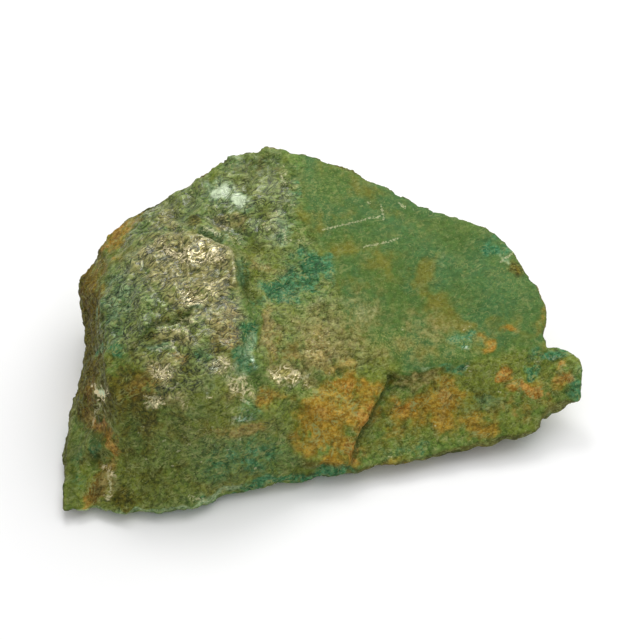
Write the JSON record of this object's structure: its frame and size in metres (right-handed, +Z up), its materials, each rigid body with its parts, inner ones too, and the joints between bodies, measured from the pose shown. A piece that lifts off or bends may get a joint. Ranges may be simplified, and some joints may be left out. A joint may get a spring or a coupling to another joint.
{
  "type": "rough verdite mineral specimen",
  "caption": "Rough hand specimen of verdite, a green mica rock: a broken wedge with a smooth cleavage plate, crinkled mica, a stained tile and layered walls. For display.",
  "frame": {"origin": "centre of the bounding box's bottom, on the flat resting face", "axes": "+X along the length, towards the narrow tongue; +Y to the back; +Z up"},
  "size_m": [0.12, 0.0798, 0.0383],
  "materials": {
    "verdite_stone": "rough broken green mica rock with ochre and rust stains and pale mica glints"
  },
  "bodies": {
    "root": {"verdite_stone": "verdite_stone"}
  },
  "joints": []
}
